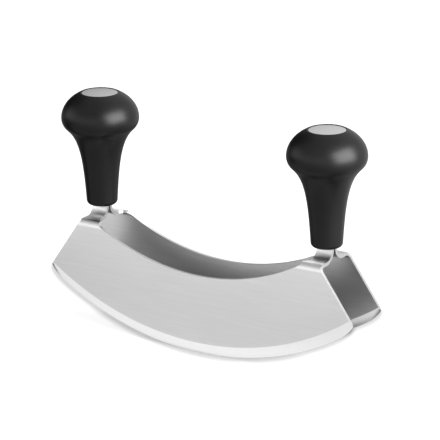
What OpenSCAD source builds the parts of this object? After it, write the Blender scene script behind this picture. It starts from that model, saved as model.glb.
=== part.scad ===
// Double-bladed mezzaluna: two folded steel blades under two knob handles.
// Inside each handle a tie bolt, riveted between the blades' tangs, runs up to a nut under the cap.
// X runs along the blades, Y across them, and Z up. The origin is midway between the blades,
// level with the lowest point of their cutting edges.

/* [Blades] */
// Straight distance between the two tips of a cutting edge
blade_length = 228; // [210:1:270]
// Radius of the cutting edge
edge_radius = 199.7; // [170:0.1:400]
// Radius in which the edge sweeps up to each tip
sweep_radius = 32; // [24:1:160]
// How far in from a tip this sweep starts
sweep_length = 10; // [2:0.5:14]
// Depth of the blade at its middle, from the cutting edge to the concave top edge
blade_depth = 51.4; // [30:0.1:60]
// Thickness of the steel sheet
sheet = 2; // [1.5:0.1:2.6]
// Distance over the outer faces of the two blades
blade_spread = 36.3; // [32:0.1:50]
// Height of the ground bevel at the middle of the blade
bevel_height = 6.6; // [3:0.1:12]
// How much smaller the radius of the bevel's upper line is than the radius of the edge
bevel_curve = 2.7; // [0:0.1:8]
// Angle that this line is turned, as the wheel cuts a little deeper at one end
bevel_tilt = 0.4; // [0:0.1:1]
// Width that the ground edge keeps at its sharpest
edge_land = 0.15; // [0.05:0.05:0.4]

/* [Folds] */
// Height of the fold's top face above the cutting edge
fold_height = 73.7; // [66:0.1:90]
// Inside radius of the fold at the top of the blade
fold_radius = 2.5; // [1.5:0.1:4]
// Radius of the outward face of the bend that turns up into the tang
neck_radius = 6.5; // [3:0.1:7]
// How far below the fold's top the concave edge runs out
edge_drop = 1.7; // [0.5:0.1:4]
// How far below the fold's top the slanted ends of the blade meet the sides of the tangs
shoulder_drop = 1.5; // [0:0.1:6]
// Extra width of the fold beside the tang, on the inner side
flare = 3; // [1:0.1:4]
// Radius that blends this extra width into the tang
flare_radius = 5; // [4.2:0.1:6]
// Radius in the corner between the concave edge and the fold
corner_radius = 3; // [1:0.1:5]

/* [Tangs] */
// Distance from the tip of a blade in to the axis of the handle
handle_inset = 29.2; // [24:0.1:40]
// Width of a tang
tang_width = 11.2; // [9:0.1:12]
// Gap between the two tangs in a handle, filled by the tie bolt's paddle
tang_gap = 1.4; // [1:0.1:2]
// Straight length of tang that shows under the handle
tang_show = 0.5; // [0.2:0.1:8]
// Length of tang inside the handle
tang_reach = 32; // [28:0.5:40]

/* [Handles] */
// Height of a handle, from its foot to the face of the cap
handle_height = 74.5; // [70:0.5:95]
// Radius of the handle's neck at its foot
neck_foot = 10.05; // [9.7:0.05:12]
// Rounding of the foot's edge
foot_round = 2.8; // [1:0.1:3]
// Outward lean of the neck's side where it leaves the foot, in degrees
neck_lean = 3.5; // [0:0.5:6]
// Length over which the neck stays nearly straight
neck_run = 26.5; // [16:0.5:30]
// Radius of the knob at its widest
knob_radius = 25.05; // [21:0.05:30]
// Height of the knob's widest circle above the foot
knob_height = 57.8; // [54:0.1:62]
// Radius that rounds the knob's underside into its widest circle
knob_round = 9.5; // [4:0.1:11]
// Angle over which this rounding turns, in degrees
round_turn = 48; // [35:1:60]
// Length over which the neck's side swings out to the knob
flare_out = 11.2; // [8:0.1:16]

/* [Caps] */
// Radius of the steel cap in the top of a handle
cap_radius = 11.8; // [9.5:0.1:14]
// Thickness of the cap's disc
cap_thickness = 2.2; // [1.5:0.1:3]
// Width of the plastic rim round the cap
cap_rim = 0.3; // [0.2:0.1:1.5]
// Chamfer round the cap's face
cap_chamfer = 0.35; // [0.1:0.05:0.6]
// Length of the spigot under the cap
spigot_length = 4; // [2:0.1:4.5]
// Wall of the spigot
spigot_wall = 1.2; // [0.8:0.1:2]

/* [Fastenings] */
// Radius of the tie bolt's shank
bolt_radius = 2.5; // [2:0.1:2.6]
// Width of the bolt's flattened paddle
paddle_width = 8.6; // [7:0.1:9]
// How far the paddle's rounded end stays above the handle's foot
paddle_lift = 3; // [1:0.1:5]
// Thread that stands above the nut
bolt_stand = 1.5; // [0.5:0.1:2]
// Radius of a rivet's shank
rivet_radius = 1.5; // [1:0.1:1.8]
// Radius of a rivet's countersunk head
rivet_head = 2.3; // [2:0.1:2.8]
// Depth of a rivet's countersunk head
rivet_sink = 0.8; // [0.4:0.1:1.2]
// Height of the lower rivet above the handle's foot
rivet_low = 10; // [8:0.5:11]
// Distance between the two rivets
rivet_pitch = 13; // [9:0.5:16]
// Radius of the well that takes the washer and the nut
well_radius = 7.5; // [6.5:0.1:9]
// Depth of the well below the cap
well_depth = 13.3; // [12.8:0.1:16]
// Thickness of the washer
washer_thickness = 1.2; // [0.8:0.1:1.6]
// Distance across the flats of the nut
nut_flats = 8; // [7:0.1:10]
// Height of the nut
nut_height = 4; // [3:0.1:5]
// Clearance of a piece that is pressed or pushed into another
fit = 0.1; // [0.05:0.05:0.2]
// Clearance of the washer and the handle round the bolt
loose_fit = 0.25; // [0.1:0.05:0.5]

/* [Hidden] */
$fn = 96;
left = -1;
right = 1;
lower = 0;
upper = 1;

// Steps that a bend, a curve of the handle and a long edge are drawn in
bend_steps = 12;
curve_steps = 20;
edge_steps = 56;
// Length by which a cut runs past what it cuts
past = 1;
// How far the grinding surfaces are carried past the faces of the sheet
grind_past = 1.25;

half_length = blade_length / 2;
grind_reach = half_length + past;

// The edge is an arc about a point over its middle, with a tighter arc at each end
sweep_turn = asin((half_length - sweep_length) / edge_radius);
sweep_x = (edge_radius - sweep_radius) * sin(sweep_turn);
sweep_z = edge_radius - (edge_radius - sweep_radius) * cos(sweep_turn);
tip_z = sweep_z - sqrt(pow(sweep_radius, 2) - pow(half_length - sweep_x, 2));

face_y = blade_spread / 2;
middle_y = face_y - sheet / 2;

tang_inner_y = tang_gap / 2;
tang_outer_y = tang_inner_y + sheet;
fold_y = face_y - sheet - fold_radius;
fold_z = fold_height - sheet - fold_radius;
neck_y = tang_outer_y + neck_radius;
neck_z = fold_height + neck_radius;

handle_x = half_length - handle_inset;
tang_inner_x = handle_x - tang_width / 2;
shoulder_x = handle_x + tang_width / 2;
shoulder_z = fold_height - shoulder_drop;
fold_inner_x = tang_inner_x - flare;
flare_run = sqrt(pow(flare_radius, 2) - pow(flare_radius - flare, 2));

// The concave top edge is an arc through its lowest point and the two folds, with a fillet at each
top_rise = fold_height - edge_drop - blade_depth;
top_radius = arc_radius(fold_inner_x, top_rise);
top_centre_z = blade_depth + top_radius;
corner_x = fold_inner_x - corner_radius;
corner_z = top_centre_z - sqrt(pow(top_radius - corner_radius, 2) - pow(corner_x, 2));
corner_turn = asin(corner_x / (top_radius - corner_radius));

foot_z = neck_z + tang_show;
tang_top = foot_z + tang_reach;
handle_top = foot_z + handle_height;
knob_z = foot_z + knob_height;
cap_seat = handle_top - cap_thickness;
ledge_z = cap_seat - well_depth;
nut_z = ledge_z + washer_thickness;
bolt_top = nut_z + nut_height + bolt_stand;
paddle_z = foot_z + paddle_lift;

// The dome is an ellipse from the knob's widest circle to the rim round the cap
rim_radius = cap_radius + fit + cap_rim;
dome_height = (handle_top - knob_z) / sqrt(1 - pow(rim_radius / knob_radius, 2));
dome_end = acos(rim_radius / knob_radius);

// Radius of the arc that rises by rise at the distance half from its lowest point
function arc_radius(half, rise) = (pow(half, 2) + pow(rise, 2)) / (2 * rise);

function arc(centre, radius, from, to, steps) = [
    for (i = [0 : steps])
        let (a = from + (to - from) * i / steps)
            centre + radius * [cos(a), sin(a)]
];

function bezier(a, b, c, d, steps) = [
    for (i = [0 : steps])
        let (t = i / steps, s = 1 - t)
            s * s * s * a + 3 * s * s * t * b + 3 * s * t * t * c + t * t * t * d
];

// Extrudes an outline drawn in X and Z, from y = back - depth to y = back
module across(back, depth) {
    translate([0, back, 0])
        rotate([90, 0, 0])
            linear_extrude(depth)
                children();
}

module at_handle(side) {
    translate([side * handle_x, 0, 0])
        children();
}

// Section of the sheet across the front blade: plate, fold, level run, bend and tang
module sheet_section() {
    polygon(concat(
        [[-face_y, -past]],
        arc([-fold_y, fold_z], fold_radius + sheet, 180, 90, bend_steps),
        arc([-neck_y, neck_z], neck_radius, -90, 0, bend_steps),
        [[-tang_outer_y, tang_top], [-tang_inner_y, tang_top]],
        arc([-neck_y, neck_z], neck_radius + sheet, 0, -90, bend_steps),
        arc([-fold_y, fold_z], fold_radius, 90, 180, bend_steps),
        [[-face_y + sheet, -past]]
    ));
}

// Front view of the blade and its tangs, before the edge is ground
module blade_outline() {
    difference() {
        polygon([
            [-half_length, -past],
            [half_length, -past],
            [half_length, tip_z],
            [shoulder_x, shoulder_z],
            [shoulder_x, tang_top + past],
            [-shoulder_x, tang_top + past],
            [-shoulder_x, shoulder_z],
            [-half_length, tip_z]
        ]);
        polygon(concat(
            arc([-corner_x, corner_z], corner_radius, -180, -90 - corner_turn, bend_steps),
            arc([0, top_centre_z], top_radius, -90 - corner_turn, -90 + corner_turn, edge_steps),
            arc([corner_x, corner_z], corner_radius, -90 + corner_turn, 0, bend_steps),
            [[fold_inner_x, tang_top + 2 * past], [-fold_inner_x, tang_top + 2 * past]]
        ));
    }
}

// Plan of what is cut beside the inner side of a tang, behind the flare of the fold
module tang_relief() {
    flare_y = flare_run - fold_y;
    translate([fold_inner_x - past, flare_y])
        square([flare + past, fold_y]);
    intersection() {
        translate([tang_inner_x - flare_radius, flare_y])
            circle(flare_radius);
        translate([fold_inner_x - past, -fold_y])
            square([flare + 2 * past, fold_y]);
    }
}

module bent_sheet() {
    difference() {
        intersection() {
            translate([-half_length - past, 0, 0])
                rotate([90, 0, 90])
                    linear_extrude(blade_length + 2 * past)
                        sheet_section();
            across(past, face_y + 2 * past)
                blade_outline();
        }
        for (side = [left, right])
            mirror([side == left ? 1 : 0, 0, 0])
                translate([0, 0, fold_z])
                    linear_extrude(tang_top - fold_z + past)
                        tang_relief();
    }
}

// Cutting edge in X and Z, from left to right
function edge_line() =
    let (end = acos((grind_reach - sweep_x) / sweep_radius))
        concat(
            arc([-sweep_x, sweep_z], sweep_radius, end - 180, -90 - sweep_turn, bend_steps),
            arc([0, edge_radius], edge_radius, -90 - sweep_turn, -90 + sweep_turn, edge_steps),
            arc([sweep_x, sweep_z], sweep_radius, -90 + sweep_turn, -end, bend_steps)
        );

// Arc with its middle at this height, turned about its middle
function tilted_line(height, radius, tilt) =
    let (x = -radius * sin(tilt), z = height + radius * cos(tilt))
        arc(
            [x, z],
            radius,
            -acos((-grind_reach - x) / radius),
            -acos((grind_reach - x) / radius),
            edge_steps
        );

// Plate over a line, centred on the middle of the front blade's sheet
module plate_over(line, thickness) {
    across(thickness / 2 - middle_y, thickness)
        polygon(concat(line, [[grind_reach, fold_z], [-grind_reach, fold_z]]));
}

// What both bevels leave: the edge's land below, opening out past the sheet's faces above
module ground_form() {
    hull() {
        plate_over(edge_line(), edge_land);
        plate_over(
            tilted_line(
                bevel_height * grind_past,
                edge_radius - bevel_curve * grind_past,
                bevel_tilt * grind_past
            ),
            edge_land + (sheet - edge_land) * grind_past
        );
    }
}

module grinding() {
    difference() {
        translate([-half_length - past, -face_y - past, -2 * past])
            cube([blade_length + 2 * past, sheet + 2 * past, fold_z + past]);
        ground_form();
    }
}

// Profile of a rivet from its middle up, wider by gap all round
module rivet_profile(gap, over) {
    polygon([
        [0, 0],
        [rivet_radius + gap, 0],
        [rivet_radius + gap, tang_outer_y - rivet_sink],
        [rivet_head + gap, tang_outer_y],
        [rivet_head + gap, tang_outer_y + over],
        [0, tang_outer_y + over]
    ]);
}

module rivet_solid(level, gap, over) {
    translate([0, 0, foot_z + rivet_low + level * rivet_pitch])
        for (turn = [90, -90])
            rotate([turn, 0, 0])
                rotate_extrude()
                    rivet_profile(gap, over);
}

module blade() {
    color("gainsboro")
        difference() {
            bent_sheet();
            grinding();
            for (side = [left, right])
                for (level = [lower, upper])
                    at_handle(side)
                        rivet_solid(level, fit, past);
        }
}

module front_blade() {
    blade();
}

module rear_blade() {
    rotate([0, 0, 180])
        blade();
}

// Half section of the handle's outside, from the foot up over the dome
module handle_profile() {
    round_x = knob_radius - knob_round;
    round_start = [round_x, knob_z] + knob_round * [cos(round_turn), -sin(round_turn)];
    neck_start = [neck_foot, foot_z + foot_round];
    polygon(concat(
        [[0, foot_z]],
        arc([neck_foot - foot_round, foot_z + foot_round], foot_round, -90, 0, bend_steps),
        bezier(
            neck_start,
            neck_start + neck_run * [tan(neck_lean), 1],
            round_start - flare_out * [sin(round_turn), cos(round_turn)],
            round_start,
            curve_steps
        ),
        arc([round_x, knob_z], knob_round, -round_turn, 0, bend_steps),
        [
            for (i = [1 : curve_steps])
                let (a = dome_end * i / curve_steps)
                    [knob_radius * cos(a), knob_z + dome_height * sin(a)]
        ],
        [[0, handle_top]]
    ));
}

// Slot for the two tangs, which stop the handle from turning and from sliding down
module tang_slot() {
    slot_width = tang_width + 2 * fit;
    slot_depth = 2 * (tang_outer_y + fit);
    translate([-slot_width / 2, -slot_depth / 2, foot_z - past])
        cube([slot_width, slot_depth, tang_reach + past]);
}

module handle() {
    color("#1b1b1c")
        difference() {
            rotate_extrude()
                handle_profile();
            tang_slot();
            translate([0, 0, tang_top - past])
                cylinder(h = ledge_z - tang_top + 2 * past, r = bolt_radius + loose_fit);
            translate([0, 0, ledge_z])
                cylinder(h = well_depth + past, r = well_radius);
            translate([0, 0, cap_seat])
                cylinder(h = cap_thickness + past, r = cap_radius + fit);
        }
}

// The paddle fills the gap between the tangs, and the round shank stands on their ends
module tie_bolt() {
    paddle_round = paddle_width / 2;
    color("silver") {
        difference() {
            across(tang_inner_y, tang_gap) {
                translate([0, paddle_z + paddle_round])
                    circle(paddle_round);
                translate([-paddle_round, paddle_z + paddle_round])
                    square([paddle_width, tang_top - paddle_z - paddle_round]);
            }
            for (level = [lower, upper])
                rivet_solid(level, fit, past);
        }
        translate([0, 0, tang_top])
            cylinder(h = bolt_top - tang_top, r = bolt_radius);
    }
}

module rivet(level) {
    color("silver")
        rivet_solid(level, 0, 0);
}

module washer() {
    color("silver")
        translate([0, 0, ledge_z])
            difference() {
                cylinder(h = washer_thickness, r = well_radius - loose_fit);
                translate([0, 0, -past])
                    cylinder(h = washer_thickness + 2 * past, r = bolt_radius + loose_fit);
            }
}

module nut() {
    nut_corner = nut_flats / sqrt(3);
    color("silver")
        translate([0, 0, nut_z])
            difference() {
                cylinder(h = nut_height, r = nut_corner, $fn = 6);
                translate([0, 0, -past])
                    cylinder(h = nut_height + 2 * past, r = bolt_radius + fit);
            }
}

// Disc with a chamfered face and a hollow spigot that presses into the well
module cap() {
    spigot_radius = well_radius - fit;
    color("lightgray")
        rotate_extrude()
            polygon([
                [0, cap_seat],
                [spigot_radius - spigot_wall, cap_seat],
                [spigot_radius - spigot_wall, cap_seat - spigot_length],
                [spigot_radius, cap_seat - spigot_length],
                [spigot_radius, cap_seat],
                [cap_radius, cap_seat],
                [cap_radius, handle_top - cap_chamfer],
                [cap_radius - cap_chamfer, handle_top],
                [0, handle_top]
            ]);
}

front_blade();
rear_blade();
at_handle(left) handle();  // left_handle
at_handle(right) handle();  // right_handle
at_handle(left) tie_bolt();  // left_tie_bolt
at_handle(right) tie_bolt();  // right_tie_bolt
at_handle(left) rivet(lower);  // left_lower_rivet
at_handle(left) rivet(upper);  // left_upper_rivet
at_handle(right) rivet(lower);  // right_lower_rivet
at_handle(right) rivet(upper);  // right_upper_rivet
at_handle(left) washer();  // left_washer
at_handle(right) washer();  // right_washer
at_handle(left) nut();  // left_nut
at_handle(right) nut();  // right_nut
at_handle(left) cap();  // left_cap
at_handle(right) cap();  // right_cap
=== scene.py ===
# Looks of the double-bladed mezzaluna: brushed steel blades with a ground bevel, satin black
# knob handles and steel caps. Lengths are in metres and angles in radians, in the frame
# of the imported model: X along the blades, Y across them, Z up.
import math

import bpy
from mathutils import Matrix, Vector


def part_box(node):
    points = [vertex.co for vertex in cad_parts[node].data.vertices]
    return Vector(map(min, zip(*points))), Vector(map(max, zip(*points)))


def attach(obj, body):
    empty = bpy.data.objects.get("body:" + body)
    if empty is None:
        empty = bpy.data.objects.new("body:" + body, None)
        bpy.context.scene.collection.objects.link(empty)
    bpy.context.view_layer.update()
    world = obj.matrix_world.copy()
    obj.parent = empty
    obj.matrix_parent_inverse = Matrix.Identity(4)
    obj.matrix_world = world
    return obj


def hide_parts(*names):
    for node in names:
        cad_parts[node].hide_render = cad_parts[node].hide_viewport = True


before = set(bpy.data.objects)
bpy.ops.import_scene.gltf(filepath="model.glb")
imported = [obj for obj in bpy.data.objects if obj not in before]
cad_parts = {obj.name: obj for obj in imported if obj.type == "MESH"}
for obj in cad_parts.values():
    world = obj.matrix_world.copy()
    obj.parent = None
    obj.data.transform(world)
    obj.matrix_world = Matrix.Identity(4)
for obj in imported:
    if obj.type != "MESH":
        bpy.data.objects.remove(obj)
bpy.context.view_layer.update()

MM = 0.001
QUARTER = math.pi / 2

# Places that the frame gives
blade_low, blade_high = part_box("front_blade")
handle_low, handle_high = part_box("right_handle")
cap_low, cap_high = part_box("right_cap")

half_length = blade_high.x
face_y = -blade_low.y
tang_inner_y = -blade_high.y
tang_top = blade_high.z
handle_x = (handle_low.x + handle_high.x) / 2
knob_radius = (handle_high.x - handle_low.x) / 2
foot_z = handle_low.z
handle_top = handle_high.z
cap_radius = (cap_high.x - cap_low.x) / 2
spigot_z = cap_low.z

# Sizes inside the pieces, as the part's source has them
SHEET = 2 * MM
EDGE_RADIUS = 199.7 * MM
SWEEP_RADIUS = 32 * MM
SWEEP_LENGTH = 10 * MM
EDGE_LAND = 0.15 * MM
BLADE_DEPTH = 51.4 * MM
BEVEL_HEIGHT = 6.6 * MM
BEVEL_CURVE = 2.7 * MM
BEVEL_TILT = math.radians(0.4)
FOLD_HEIGHT = 73.7 * MM
FOLD_RADIUS = 2.5 * MM
NECK_RADIUS = 6.5 * MM
EDGE_DROP = 1.7 * MM
SHOULDER_DROP = 1.5 * MM
FLARE = 3 * MM
FLARE_RADIUS = 5 * MM
CORNER_RADIUS = 3 * MM
TANG_WIDTH = 11.2 * MM

NECK_FOOT = 10.05 * MM
FOOT_ROUND = 2.8 * MM
NECK_LEAN = math.radians(3.5)
NECK_RUN = 26.5 * MM
KNOB_HEIGHT = 57.8 * MM
KNOB_ROUND = 9.5 * MM
ROUND_TURN = math.radians(48)
FLARE_OUT = 11.2 * MM
CAP_THICKNESS = 2.2 * MM
CAP_RIM = 0.3 * MM
SPIGOT_WALL = 1.2 * MM
WELL_RADIUS = 7.5 * MM
WELL_DEPTH = 13.3 * MM
BOLT_RADIUS = 2.5 * MM
FIT = 0.1 * MM
LOOSE_FIT = 0.25 * MM

# Crown of a cap's face, which only the looks have, and the rounding of its rim
CAP_CROWN = 0.3 * MM
CAP_ROUND = 0.35 * MM

# Length by which a cutter runs past what it cuts
PAST = 1 * MM
# Distance within which points of an outline are one point
WELD = 0.001 * MM
# How far the grinding surfaces are carried past the faces of the sheet
GRIND_PAST = 1.25

grind_reach = half_length + PAST
sweep_turn = math.asin((half_length - SWEEP_LENGTH) / EDGE_RADIUS)
sweep_x = (EDGE_RADIUS - SWEEP_RADIUS) * math.sin(sweep_turn)
sweep_z = EDGE_RADIUS - (EDGE_RADIUS - SWEEP_RADIUS) * math.cos(sweep_turn)
tip_z = sweep_z - math.sqrt(SWEEP_RADIUS**2 - (half_length - sweep_x) ** 2)
middle_y = face_y - SHEET / 2
tang_outer_y = tang_inner_y + SHEET
fold_y = face_y - SHEET - FOLD_RADIUS
fold_z = FOLD_HEIGHT - SHEET - FOLD_RADIUS
neck_y = tang_outer_y + NECK_RADIUS
neck_z = FOLD_HEIGHT + NECK_RADIUS
tang_inner_x = handle_x - TANG_WIDTH / 2
shoulder_x = handle_x + TANG_WIDTH / 2
shoulder_z = FOLD_HEIGHT - SHOULDER_DROP
fold_inner_x = tang_inner_x - FLARE
cap_seat = handle_top - CAP_THICKNESS
ledge_z = cap_seat - WELL_DEPTH
knob_z = foot_z + KNOB_HEIGHT


def arc_radius(half, rise):
    """Radius of the arc that rises by rise at the distance half from its lowest point."""
    return (half**2 + rise**2) / (2 * rise)


top_radius = arc_radius(fold_inner_x, FOLD_HEIGHT - EDGE_DROP - BLADE_DEPTH)
top_centre_z = BLADE_DEPTH + top_radius


# Tools of the bench


def put_down():
    """Leaves edit mode with nothing selected."""
    if bpy.context.mode != "OBJECT":
        bpy.ops.object.mode_set(mode="OBJECT")
    bpy.ops.object.select_all(action="DESELECT")


def pick_up(piece):
    put_down()
    piece.select_set(True)
    bpy.context.view_layer.objects.active = piece


def edit(piece):
    """Opens a piece in edit mode with all of it selected."""
    pick_up(piece)
    bpy.ops.object.mode_set(mode="EDIT")
    bpy.ops.mesh.select_all(action="SELECT")


def apply(piece, kind, **settings):
    """Gives a piece a modifier and applies it."""
    pick_up(piece)
    modifier = piece.modifiers.new(kind.title(), kind)
    for name, value in settings.items():
        setattr(modifier, name, value)
    bpy.ops.object.modifier_apply(modifier=modifier.name)


def cut(piece, *cutters, operation="DIFFERENCE"):
    """Cuts a piece with cutters, which are used up."""
    for cutter in cutters:
        apply(piece, "BOOLEAN", object=cutter, operation=operation, solver="EXACT")
        bpy.data.objects.remove(cutter)


class Pen:
    """Draws an outline by extruding a point along straight lines and spinning it round arcs."""

    def __init__(self, name, start):
        put_down()
        bpy.ops.mesh.primitive_plane_add(size=MM)
        self.piece = bpy.context.object
        self.piece.name = name
        self.start = Vector(start)
        self.at = Vector(start)
        bpy.ops.object.mode_set(mode="EDIT")
        bpy.ops.mesh.merge(type="CENTER")
        bpy.ops.transform.translate(value=self.start)

    def line(self, *points):
        for point in points:
            step = Vector(point) - self.at
            bpy.ops.mesh.extrude_vertices_move(TRANSFORM_OT_translate={"value": step})
            self.at = Vector(point)
        return self

    def arc(self, centre, axis, angle, steps):
        """Turns by the right-hand rule about axis; the spin operator counts the other way."""
        bpy.ops.mesh.spin(steps=steps, angle=-angle, center=centre, axis=axis)
        turn = Matrix.Rotation(angle, 3, Vector(axis))
        self.at = Vector(centre) + turn @ (self.at - Vector(centre))
        return self

    def face(self):
        """Closes the outline into one face."""
        bpy.ops.mesh.select_all(action="SELECT")
        bpy.ops.mesh.remove_doubles(threshold=WELD)
        bpy.ops.mesh.edge_face_add()
        return self

    def pull(self, reach):
        """Pulls all that is drawn along reach, an outline into a wall or a face into a solid."""
        bpy.ops.mesh.select_all(action="SELECT")
        bpy.ops.mesh.extrude_region_move(TRANSFORM_OT_translate={"value": reach})
        return self.done()

    def turn(self, sides):
        """Spins a half section round the Z axis into a solid."""
        bpy.ops.mesh.select_all(action="SELECT")
        bpy.ops.mesh.spin(steps=sides, angle=2 * math.pi, center=(0, 0, 0), axis=(0, 0, 1))
        bpy.ops.mesh.select_all(action="SELECT")
        bpy.ops.mesh.remove_doubles(threshold=WELD)
        return self.done()

    def done(self):
        bpy.ops.mesh.select_all(action="SELECT")
        bpy.ops.mesh.normals_make_consistent(inside=False)
        put_down()
        return self.piece


def moved_copy(piece, name, place):
    """A copy with its own mesh, with the move or turn kept in the mesh."""
    copy = piece.copy()
    copy.data = piece.data.copy()
    copy.name = name
    bpy.context.scene.collection.objects.link(copy)
    copy.data.transform(place)
    return copy


# The blades

ACROSS = (0, 1, 0)
ALONG = (1, 0, 0)
BEND_STEPS = 16
EDGE_STEPS = 120


def folded_sheet():
    """The sheet after folding and before it is cut to its outline: plate, fold, run, bend, tang."""
    end = -half_length - PAST
    pen = Pen("folded_sheet", (end, -middle_y, -PAST))
    pen.line((end, -middle_y, fold_z))
    pen.arc((end, -fold_y, fold_z), ALONG, -QUARTER, BEND_STEPS)
    pen.line((end, -neck_y, FOLD_HEIGHT - SHEET / 2))
    pen.arc((end, -neck_y, neck_z), ALONG, QUARTER, BEND_STEPS)
    pen.line((end, SHEET / 2 - tang_outer_y, tang_top))
    sheet = pen.pull((2 * half_length + 2 * PAST, 0, 0))
    apply(sheet, "SOLIDIFY", thickness=SHEET, offset=0, use_even_offset=True)
    return sheet


def blade_outline():
    """Front view of the blade and its tangs, pulled right through the folded sheet."""
    back = PAST
    top = tang_top + PAST
    corner_x = fold_inner_x - CORNER_RADIUS
    corner_z = top_centre_z - math.sqrt((top_radius - CORNER_RADIUS) ** 2 - corner_x**2)
    corner_turn = math.asin(corner_x / (top_radius - CORNER_RADIUS))
    pen = Pen("blade_outline", (-half_length, back, -PAST))
    pen.line(
        (half_length, back, -PAST),
        (half_length, back, tip_z),
        (shoulder_x, back, shoulder_z),
        (shoulder_x, back, top),
        (fold_inner_x, back, top),
        (fold_inner_x, back, corner_z),
    )
    pen.arc((corner_x, back, corner_z), ACROSS, QUARTER - corner_turn, BEND_STEPS)
    pen.arc((0, back, top_centre_z), ACROSS, 2 * corner_turn, EDGE_STEPS)
    pen.arc((-corner_x, back, corner_z), ACROSS, QUARTER - corner_turn, BEND_STEPS)
    pen.line(
        (-fold_inner_x, back, top),
        (-shoulder_x, back, top),
        (-shoulder_x, back, shoulder_z),
        (-half_length, back, tip_z),
    )
    return pen.face().pull((0, -face_y - 2 * PAST, 0))


def tang_relief(side):
    """Plan of what is cut beside the inner side of a tang, behind the flare of the fold."""
    flare_y = math.sqrt(FLARE_RADIUS**2 - (FLARE_RADIUS - FLARE) ** 2) - fold_y
    inner = side * tang_inner_x
    centre = side * (tang_inner_x - FLARE_RADIUS)
    pen = Pen("tang_relief", (inner, PAST, fold_z))
    pen.line((inner, flare_y, fold_z))
    pen.arc((centre, flare_y, fold_z), (0, 0, 1), -side * math.pi, 2 * BEND_STEPS)
    pen.line((centre - side * FLARE_RADIUS, PAST, fold_z))
    return pen.face().pull((0, 0, tang_top - fold_z + 2 * PAST))


def plate_over(start_z, arcs, thickness):
    """Plate over a line of arcs from left to right, centred on the middle of the front sheet."""
    front = -middle_y - thickness / 2
    pen = Pen("plate", (-grind_reach, front, start_z))
    for x, z, turn, steps in arcs:
        pen.arc((x, front, z), ACROSS, -turn, steps)
    pen.line((grind_reach, front, fold_z), (-grind_reach, front, fold_z))
    return pen.face().pull((0, thickness, 0))


def edge_plate():
    """The land of the cutting edge: a long arc with a tighter one that sweeps up to each tip."""
    reach = grind_reach - sweep_x
    end_turn = math.asin(reach / SWEEP_RADIUS) - sweep_turn
    return plate_over(
        sweep_z - math.sqrt(SWEEP_RADIUS**2 - reach**2),
        (
            (-sweep_x, sweep_z, end_turn, BEND_STEPS),
            (0, EDGE_RADIUS, 2 * sweep_turn, EDGE_STEPS),
            (sweep_x, sweep_z, end_turn, BEND_STEPS),
        ),
        EDGE_LAND,
    )


def face_plate():
    """The bevel's upper line, carried past the faces of the sheet, and turned a little."""
    radius = EDGE_RADIUS - BEVEL_CURVE * GRIND_PAST
    tilt = BEVEL_TILT * GRIND_PAST
    x = -radius * math.sin(tilt)
    z = BEVEL_HEIGHT * GRIND_PAST + radius * math.cos(tilt)
    turn = math.asin((grind_reach - x) / radius) + math.asin((grind_reach + x) / radius)
    return plate_over(
        z - math.sqrt(radius**2 - (grind_reach + x) ** 2),
        ((x, z, turn, EDGE_STEPS),),
        EDGE_LAND + (SHEET - EDGE_LAND) * GRIND_PAST,
    )


def grinding():
    """What the grinding wheels take off either side of the cutting edge."""
    ground = edge_plate()
    faces = face_plate()
    pick_up(ground)
    faces.select_set(True)
    bpy.ops.object.join()
    edit(ground)
    bpy.ops.mesh.convex_hull()
    put_down()
    reach = grind_reach - PAST / 2
    pen = Pen("grinding", (-reach, -face_y - PAST, -2 * PAST))
    pen.line(
        (reach, -face_y - PAST, -2 * PAST),
        (reach, -face_y - PAST, fold_z - PAST),
        (-reach, -face_y - PAST, fold_z - PAST),
    )
    block = pen.face().pull((0, SHEET + 2 * PAST, 0))
    cut(block, ground)
    return block


def make_blade():
    blade = folded_sheet()
    blade.name = "front_blade_ground"
    cut(blade, blade_outline(), operation="INTERSECT")
    cut(blade, tang_relief(1), tang_relief(-1), grinding())
    return blade


front = make_blade()


# The handles and their caps

CURVE_STEPS = 32
RIM_STEPS = 4
SIDES = 144


def bezier(a, b, c, d, steps):
    """Points of a Bezier curve after its first one."""
    a, b, c, d = (Vector(p) for p in (a, b, c, d))
    points = []
    for i in range(1, steps + 1):
        t = i / steps
        s = 1 - t
        points.append(s**3 * a + 3 * s * s * t * b + 3 * s * t * t * c + t**3 * d)
    return points


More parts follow.
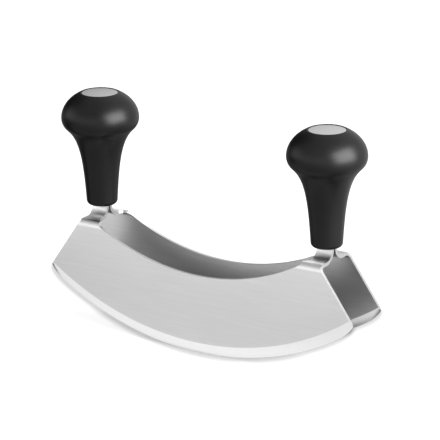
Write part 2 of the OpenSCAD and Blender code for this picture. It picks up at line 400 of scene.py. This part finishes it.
def make_handle():
    """A moulded handle about the Z axis: foot, flared neck, knob, and the hollow for the bolt."""
    rim_radius = cap_radius + FIT + CAP_RIM
    neck_start = Vector((NECK_FOOT, 0, foot_z + FOOT_ROUND))
    round_x = knob_radius - KNOB_ROUND
    round_centre = Vector((round_x, 0, knob_z))
    out = Vector((math.cos(ROUND_TURN), 0, -math.sin(ROUND_TURN)))
    up = Vector((math.sin(ROUND_TURN), 0, math.cos(ROUND_TURN)))
    round_start = round_centre + KNOB_ROUND * out
    dome_height = (handle_top - knob_z) / math.sqrt(1 - (rim_radius / knob_radius) ** 2)
    dome_end = math.acos(rim_radius / knob_radius)

    pen = Pen("handle", (0, 0, foot_z))
    pen.line((NECK_FOOT - FOOT_ROUND, 0, foot_z))
    pen.arc((NECK_FOOT - FOOT_ROUND, 0, foot_z + FOOT_ROUND), ACROSS, -QUARTER, BEND_STEPS)
    pen.line(*bezier(
        neck_start,
        neck_start + NECK_RUN * Vector((math.tan(NECK_LEAN), 0, 1)),
        round_start - FLARE_OUT * up,
        round_start,
        CURVE_STEPS,
    ))
    pen.arc(round_centre, ACROSS, -ROUND_TURN, BEND_STEPS)
    for i in range(1, CURVE_STEPS + 1):
        a = dome_end * i / CURVE_STEPS
        pen.line((knob_radius * math.cos(a), 0, knob_z + dome_height * math.sin(a)))
    pen.line(
        (cap_radius + FIT, 0, handle_top),
        (cap_radius + FIT, 0, cap_seat),
        (WELL_RADIUS, 0, cap_seat),
        (WELL_RADIUS, 0, ledge_z),
        (BOLT_RADIUS + LOOSE_FIT, 0, ledge_z),
        (BOLT_RADIUS + LOOSE_FIT, 0, tang_top - PAST),
        (0, 0, tang_top - PAST),
    )
    handle = pen.turn(SIDES)

    slot_x = TANG_WIDTH / 2 + FIT
    slot_y = tang_outer_y + FIT
    pen = Pen("tang_slot", (-slot_x, -slot_y, foot_z - PAST))
    pen.line(
        (slot_x, -slot_y, foot_z - PAST),
        (slot_x, slot_y, foot_z - PAST),
        (-slot_x, slot_y, foot_z - PAST),
    )
    cut(handle, pen.face().pull((0, 0, tang_top - foot_z + PAST)))
    return handle


def make_cap():
    """A disc with a rounded rim and a barely crowned face, and the hollow spigot under it."""
    face_radius = cap_radius - CAP_ROUND
    round_z = handle_top - CAP_CROWN - CAP_ROUND
    spigot_radius = WELL_RADIUS - FIT
    pen = Pen("cap", (0, 0, cap_seat))
    pen.line(
        (spigot_radius - SPIGOT_WALL, 0, cap_seat),
        (spigot_radius - SPIGOT_WALL, 0, spigot_z),
        (spigot_radius, 0, spigot_z),
        (spigot_radius, 0, cap_seat),
        (cap_radius, 0, cap_seat),
        (cap_radius, 0, round_z),
    )
    pen.arc((face_radius, 0, round_z), ACROSS, -QUARTER, RIM_STEPS)
    for i in range(1, BEND_STEPS + 1):
        share = 1 - i / BEND_STEPS
        pen.line((share * face_radius, 0, handle_top - CAP_CROWN * share**2))
    return pen.turn(SIDES)


handle = make_handle()
cap = make_cap()

half_turn = Matrix.Rotation(math.pi, 4, "Z")
to_left = Matrix.Translation((-handle_x, 0, 0))
to_right = Matrix.Translation((handle_x, 0, 0))
pieces = {
    "front_blade": front,
    "rear_blade": moved_copy(front, "rear_blade_ground", half_turn),
    "left_handle": moved_copy(handle, "left_handle_moulding", to_left),
    "right_handle": moved_copy(handle, "right_handle_moulding", to_right),
    "left_cap": moved_copy(cap, "left_cap_disc", to_left),
    "right_cap": moved_copy(cap, "right_cap_disc", to_right),
}
bpy.data.objects.remove(handle)
bpy.data.objects.remove(cap)


# Finishes


class Field:
    """A number that varies over a surface. Sums and products of fields add Math nodes."""

    def __init__(self, nodes, socket):
        self.nodes = nodes
        self.socket = socket

    def maths(self, operation, *values):
        return self.nodes.number("ShaderNodeMath", {"operation": operation}, *values)

    def __add__(self, other):
        return self.maths("ADD", self, other)

    def __sub__(self, other):
        return self.maths("SUBTRACT", self, other)

    def __rsub__(self, other):
        return self.maths("SUBTRACT", other, self)

    def __mul__(self, other):
        return self.maths("MULTIPLY", self, other)

    def __rtruediv__(self, other):
        return self.maths("DIVIDE", other, self)

    def __pow__(self, other):
        return self.maths("POWER", self, other)

    def __abs__(self):
        return self.maths("ABSOLUTE", self)

    __radd__ = __add__
    __rmul__ = __mul__


class Nodes:
    """A node tree that is written as expressions."""

    def __init__(self, tree):
        self.tree = tree

    def node(self, kind, settings=None, *values, **named):
        """Adds a node: its settings first, then the values or links of its sockets."""
        node = self.tree.nodes.new(kind)
        for setting, value in (settings or {}).items():
            setattr(node, setting, value)
        sockets = dict(enumerate(values))
        sockets.update({name.replace("_", " "): value for name, value in named.items()})
        for socket, value in sockets.items():
            self.feed(node.inputs[socket], value)
        return node

    def number(self, kind, settings=None, *values, **named):
        return Field(self, self.node(kind, settings, *values, **named).outputs[0])

    def feed(self, socket, value):
        if isinstance(value, Field):
            value = value.socket
        if isinstance(value, bpy.types.NodeSocket):
            self.tree.links.new(value, socket)
        else:
            socket.default_value = value

    def towards(self, vector, direction):
        """How far a vector points along a direction, from -1 to 1."""
        aim = Vector(direction).normalized()
        node = self.node("ShaderNodeVectorMath", {"operation": "DOT_PRODUCT"}, vector, aim)
        return Field(self, node.outputs["Value"])

    def ramp(self, value, start, end, low=0.0, high=1.0):
        """Runs smoothly from low to high while value goes from start to end."""
        return self.number(
            "ShaderNodeMapRange", {"interpolation_type": "SMOOTHSTEP"},
            value, start, end, low, high,
        )

    def ray(self, kind):
        return Field(self, self.node("ShaderNodeLightPath").outputs[f"Is {kind} Ray"])


class Finish(Nodes):
    """A material made from nodes."""

    def __init__(self, name, **constants):
        self.material = bpy.data.materials.new(name)
        self.material.use_nodes = True
        super().__init__(self.material.node_tree)
        self.shader = self.tree.nodes["Principled BSDF"]
        self.place = self.node("ShaderNodeTexCoord").outputs["Object"]
        for socket, value in constants.items():
            self.shader.inputs[socket.replace("_", " ")].default_value = value

    def noise(self, scale, detail):
        """Noise from 0 to 1, with scale given along X, Y and Z in waves a metre."""
        stretched = self.node(
            "ShaderNodeMapping", {"vector_type": "POINT"}, Vector=self.place, Scale=scale
        ).outputs[0]
        return self.number(
            "ShaderNodeTexNoise", None, Vector=stretched, Scale=1.0, Detail=detail
        )

    def blend(self, amount, dark, light):
        """A colour between dark and light."""
        node = self.node("ShaderNodeMix", {"data_type": "RGBA"})
        self.feed(node.inputs["Factor"], amount)
        self.feed(node.inputs["A"], dark)
        self.feed(node.inputs["B"], light)
        return node.outputs["Result"]

    def wear(self, colour=None, roughness=None, bump=None, height=0.0):
        """Feeds what varies over the surface to the shader."""
        if colour is not None:
            self.feed(self.shader.inputs["Base Color"], colour)
        if roughness is not None:
            self.feed(self.shader.inputs["Roughness"], roughness)
        if bump is not None:
            node = self.node("ShaderNodeBump", None, Strength=1.0, Distance=height, Height=bump)
            self.feed(self.shader.inputs["Normal"], node.outputs[0])
        return self.material


def grey(value):
    return (value, value, value, 1)


# Lines along X scatter light up and down, so the gloss is turned a quarter round
UP_AND_DOWN = 0.25


def brushed_steel():
    """Fine lines along the blade, as the rolled sheet is brushed before it is cut and folded."""
    finish = Finish(
        "brushed_steel", Metallic=1.0, Anisotropic=0.8, Anisotropic_Rotation=UP_AND_DOWN
    )
    lines = finish.noise((30, 5000, 5000), 3.0)
    bands = finish.noise((35, 1200, 1200), 3.0)
    grain = lines * 0.6 + bands * 0.4
    return finish.wear(
        colour=finish.blend(bands, grey(0.55), grey(0.64)),
        roughness=grain * 0.12 + 0.32,
        bump=grain,
        height=0.004 * MM,
    )


def ground_steel():
    """The bevel: a finer cut than the brushed faces. Its much brighter colour is partly the fine
    grind and partly a painted highlight, for the lamp light that the bevel catches.
    """
    finish = Finish("ground_steel", Metallic=1.0)
    lines = finish.noise((60, 6000, 6000), 2.0)
    return finish.wear(
        colour=finish.blend(lines, grey(0.9), grey(0.98)),
        roughness=lines * 0.1 + 0.25,
    )


def satin_plastic():
    finish = Finish("satin_black_plastic", Specular_IOR_Level=0.15)
    pebble = finish.noise((1200, 1200, 1200), 3.0)
    cloud = finish.noise((60, 60, 60), 2.0)
    return finish.wear(
        colour=finish.blend(cloud, grey(0.002), grey(0.004)),
        roughness=cloud * 0.06 + 0.35,
        bump=pebble,
        height=0.016 * MM,
    )


def cap_steel():
    """Fine satin, smoother than the blades."""
    finish = Finish("satin_cap_steel", Metallic=1.0)
    grain = finish.noise((3000, 3000, 3000), 2.0)
    return finish.wear(
        colour=finish.blend(grain, grey(0.64), grey(0.7)),
        roughness=grain * 0.06 + 0.2,
    )


def zinc_plate():
    finish = Finish("zinc_plate", Metallic=1.0)
    bloom = finish.noise((500, 500, 500), 3.0)
    return finish.wear(
        colour=finish.blend(bloom, (0.5, 0.52, 0.55, 1), (0.66, 0.67, 0.68, 1)),
        roughness=bloom * 0.15 + 0.3,
    )


def paint(piece, *materials):
    piece.data.materials.clear()
    for material in materials:
        piece.data.materials.append(material)


steel = brushed_steel()
bevel_steel = ground_steel()
plastic = satin_plastic()
cap_metal = cap_steel()
zinc = zinc_plate()
SKINS = {"blade": (steel, bevel_steel), "handle": (plastic,), "cap": (cap_metal,)}


# Bounds on the normals of the ground faces
LEAST_LEAN = 0.05
MOST_LEAN = 0.4
LEAST_FACING = 0.85

# Angle between faces above which an edge stays crisp
CREASE = math.radians(25)


def is_bevel(polygon):
    """The ground faces lie below the folds and lean a little outwards and down."""
    leans = LEAST_LEAN < -polygon.normal.z < MOST_LEAN
    faces_out = abs(polygon.normal.y) > LEAST_FACING
    return leans and faces_out and polygon.center.z < fold_z - SHEET


def shade(piece):
    """Smooth where the surface curves and crisp at its edges."""
    pick_up(piece)
    bpy.ops.object.shade_smooth_by_angle(angle=CREASE)


for node, piece in pieces.items():
    kind = node.split("_")[1]
    paint(piece, *SKINS[kind])
    if kind == "blade":
        for polygon in piece.data.polygons:
            polygon.material_index = int(is_bevel(polygon))
    shade(piece)
    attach(piece, "root")
    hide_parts(node)

for node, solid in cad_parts.items():
    if node not in pieces:
        paint(solid, zinc)


# The photographer's table

# The view that the photograph's outlines give, through a long lens from the front on the right
AZIMUTH = math.radians(33.37)
ELEVATION = math.radians(17.76)
ROLL = math.radians(-0.58)
DISTANCE = 1.63795
VIEW_CENTRE = Vector((6.43 * MM, 0, 84.43 * MM))
FOCAL_PIXELS = 2601.24
PICTURE_PIXELS = 440
forward = Vector((
    -math.sin(AZIMUTH) * math.cos(ELEVATION),
    math.cos(AZIMUTH) * math.cos(ELEVATION),
    -math.sin(ELEVATION),
))
eye = VIEW_CENTRE - DISTANCE * forward


def make_camera():
    level = Vector((math.cos(AZIMUTH), math.sin(AZIMUTH), 0))
    upward = level.cross(forward)
    right = math.cos(ROLL) * level + math.sin(ROLL) * upward
    up = math.cos(ROLL) * upward - math.sin(ROLL) * level
    data = bpy.data.cameras.new("camera")
    data.sensor_width = 36
    data.lens = data.sensor_width * FOCAL_PIXELS / PICTURE_PIXELS
    data.clip_start = 0.01
    data.clip_end = 50
    camera = bpy.data.objects.new("camera", data)
    facing = Matrix((right, up, -forward)).transposed().to_4x4()
    camera.matrix_world = Matrix.Translation(eye) @ facing
    bpy.context.scene.collection.objects.link(camera)
    bpy.context.scene.camera = camera


def softbox(name, place, width, height, radiance):
    """An even panel of light that faces the middle of the knife."""
    lamp = bpy.data.lights.new(name, "AREA")
    lamp.shape = "RECTANGLE"
    lamp.size = width
    lamp.size_y = height
    lamp.energy = radiance * math.pi * width * height
    box = bpy.data.objects.new(name, lamp)
    box.location = place
    aim = Vector((0, 0, foot_z)) - Vector(place)
    box.rotation_euler = aim.to_track_quat("-Z", "Y").to_euler()
    bpy.context.scene.collection.objects.link(box)


# How dark the painted shadow line on the table is at a cutting edge, and how far out it fades to
# none
PAINTED_SHADOW_DARKNESS = 0.42
PAINTED_SHADOW_REACH = 5.5 * MM
PAINTED_SHADOW_FADE = 2 * MM

# What the table gives back: painted light, seen only in reflections, behind the knife and on the
# right, and its colour to soft light
BEHIND_GLOW = 0.32
RIGHT_GLOW = 3
BOUNCE = 0.3


def painted_rim_shadow(finish, across, along, edge_y):
    """A painted shadow, drawn on the table just below a cutting edge as the camera sees it: 0 for
    none, 1 for black.
    """
    share = (edge_y - eye.y) / (across - eye.y)
    x = abs(share * (along - eye.x) + eye.x)
    z = eye.z - share * eye.z
    middle = (x ** 2 + (z - EDGE_RADIUS) ** 2) ** 0.5 - EDGE_RADIUS
    end = ((x - sweep_x) ** 2 + (z - sweep_z) ** 2) ** 0.5 - SWEEP_RADIUS
    start = half_length - SWEEP_LENGTH
    swept = finish.ramp(x, start - PAST, start + PAST)
    below = middle + (end - middle) * swept
    within = finish.ramp(x, half_length - PAINTED_SHADOW_FADE, half_length + 2 * PAINTED_SHADOW_FADE, 1, 0)
    within = within * finish.ramp(z, tip_z - PAINTED_SHADOW_FADE, tip_z + PAINTED_SHADOW_FADE, 1, 0)
    return finish.ramp(abs(below), 0, PAINTED_SHADOW_REACH, PAINTED_SHADOW_DARKNESS, 0) * within


def from_the_eye(finish):
    """1 where the floor is seen from the photograph's own viewpoint, and 0 from elsewhere."""
    back = finish.node("ShaderNodeVectorMath", {"operation": "SUBTRACT"}, eye, finish.place)
    way = finish.node("ShaderNodeVectorMath", {"operation": "NORMALIZE"}, back.outputs[0])
    ray = finish.node("ShaderNodeNewGeometry").outputs["Incoming"]
    match = finish.node("ShaderNodeVectorMath", {"operation": "DOT_PRODUCT"}, ray, way.outputs[0])
    return finish.ramp(Field(finish, match.outputs["Value"]), 0.999, 0.9999)


def make_floor():
    """A white table. The camera sees it with the real shadow of the knife and with a painted
    shadow, a grey line drawn under the cutting edges. Reflections see painted light and shade
    on it: dark between the blades, dim behind them, light in front, lighter still far in front,
    and bright far off on the right."""
    put_down()
    bpy.ops.mesh.primitive_plane_add(size=12)
    floor = bpy.context.object
    floor.name = "floor"
    finish = Finish("white_table", Roughness=1.0, Specular_IOR_Level=0.0, Emission_Strength=1.0)
    along = finish.towards(finish.place, (1, 0, 0))
    across = finish.towards(finish.place, (0, 1, 0))
    away = (along * along + across * across) ** 0.5
    camera = finish.ray("Camera")
    glossy = finish.ray("Glossy")

    # Painted reflection: painted light and shade on the table that only glossy rays see
    ahead = -1 * across - along * along * (0.2 / EDGE_RADIUS)
    right = finish.ramp(along + across * 0.6, 0.12, 0.4)
    near = finish.ramp(ahead, 0.03, 0.07, 0.92, 0.76) + finish.ramp(ahead, 0.14, 0.32, 0, 1.1)
    front = finish.ramp(ahead, 0.85 * face_y, 1.05 * face_y) * near
    behind = finish.ramp(across, face_y, 1.3 * face_y, 0, BEHIND_GLOW)
    painted_reflection = (front + behind) * (1 - right) + right * RIGHT_GLOW

    # Painted shadow: a grey line drawn under both cutting edges, only where the camera sees the
    # table
    rim = painted_rim_shadow(finish, across, along, -face_y) + painted_rim_shadow(finish, across, along, face_y)
    seen = camera * (1 - rim * from_the_eye(finish))
    bounce = (1 - camera) * (1 - glossy) * BOUNCE
    albedo = seen * finish.ramp(along, -0.5, 0.5, 0.3, 0.12) + bounce
    base = finish.blend(albedo, grey(0), grey(1))
    white = seen * finish.ramp(away, 0.4, 1.5, 0.68, 1)
    glow = finish.blend(white + glossy * painted_reflection, grey(0), grey(1))
    finish.feed(finish.shader.inputs["Base Color"], base)
    finish.feed(finish.shader.inputs["Emission Color"], glow)
    paint(floor, finish.material)


def make_world():
    """The studio: white to the camera, and to the knife light on the front left, overhead and
    behind, and dark elsewhere."""
    world = bpy.data.worlds.new("studio")
    world.use_nodes = True
    bpy.context.scene.world = world
    studio = Nodes(world.node_tree)
    background = world.node_tree.nodes["Background"]
    way = studio.node("ShaderNodeTexCoord").outputs["Generated"]
    height = studio.towards(way, (0, 0, 1))
    front_left = studio.ramp(studio.towards(way, (-0.45, -0.87, 0)), 0.3, 0.7)
    front_left = front_left * studio.ramp(height, 0.35, 0.5, 2.5, 0.75)
    overhead = studio.ramp(height, 0.6, 0.95) * 0.7
    back = studio.ramp(studio.towards(way, (0.1, 0.9, 0.45)), 0.52, 0.95)
    camera = studio.ray("Camera")
    light = front_left + overhead + back
    strength = camera + (1 - camera) * light
    studio.feed(background.inputs["Strength"], strength)
    background.inputs["Color"].default_value = grey(1)


make_camera()
make_world()
make_floor()
softbox("right_softbox", (1.2, -0.08, 0.64), width=1.4, height=1.05, radiance=24)
bpy.context.scene.view_settings.view_transform = "Standard"
